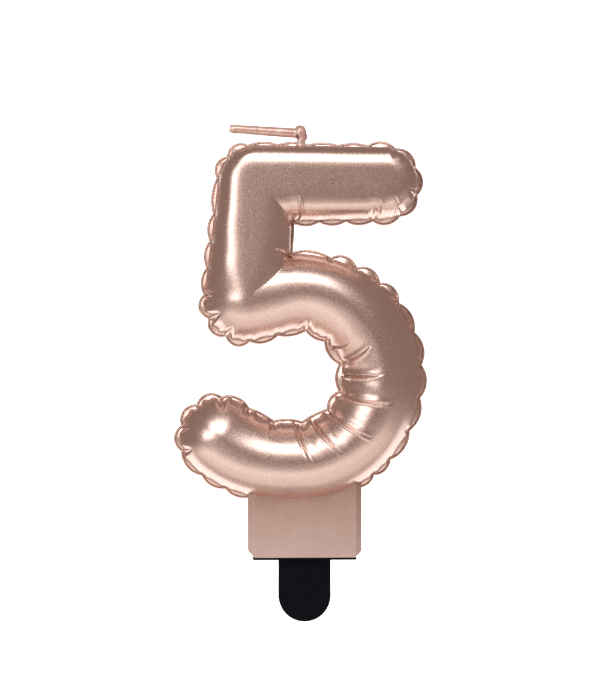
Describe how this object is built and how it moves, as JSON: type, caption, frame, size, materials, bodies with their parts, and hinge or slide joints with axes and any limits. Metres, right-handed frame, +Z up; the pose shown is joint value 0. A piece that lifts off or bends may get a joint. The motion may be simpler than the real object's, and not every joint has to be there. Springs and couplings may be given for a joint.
{
  "type": "number candle",
  "caption": "Cake candle shaped like an inflated foil numeral five, with a folded wick on top and a base block on a removable plastic pick.",
  "frame": {"origin": "middle of the pick's plate, on its underside, where the candle meets the top of the cake", "axes": "+Z up along the numeral's height, +X to the reader's right, +Y away from the reader; the seam plane is y = 0"},
  "size_m": [0.0458, 0.0138, 0.0895],
  "materials": {
    "satin_wax": "wax with a satin rose-gold metallic lacquer and a fine mica speckle",
    "matt_wax": "the same wax and colour, matt and grainy",
    "waxed_cotton": "twisted cotton soaked in wax and coated with the candle",
    "black_plastic": "blue-black, smooth"
  },
  "bodies": {
    "pick": {"pick": "black_plastic"},
    "candle": {"number_body": "satin_wax", "base_block": "matt_wax", "wick_core": "waxed_cotton"},
    "wick_end": {"wick_bead": "waxed_cotton", "wick_tip": "waxed_cotton"}
  },
  "joints": [
    {"name": "candle_slide", "type": "slide", "parent": "pick", "child": "candle", "axis": [0, 0, 1], "range_m": [0, 0.009]},
    {"name": "wick_fold", "type": "hinge", "parent": "candle", "child": "wick_end", "pos_m": [-0.0006, 0, 0.0768], "axis": [0, 1, 0], "range_deg": [-8, 86]}
  ]
}
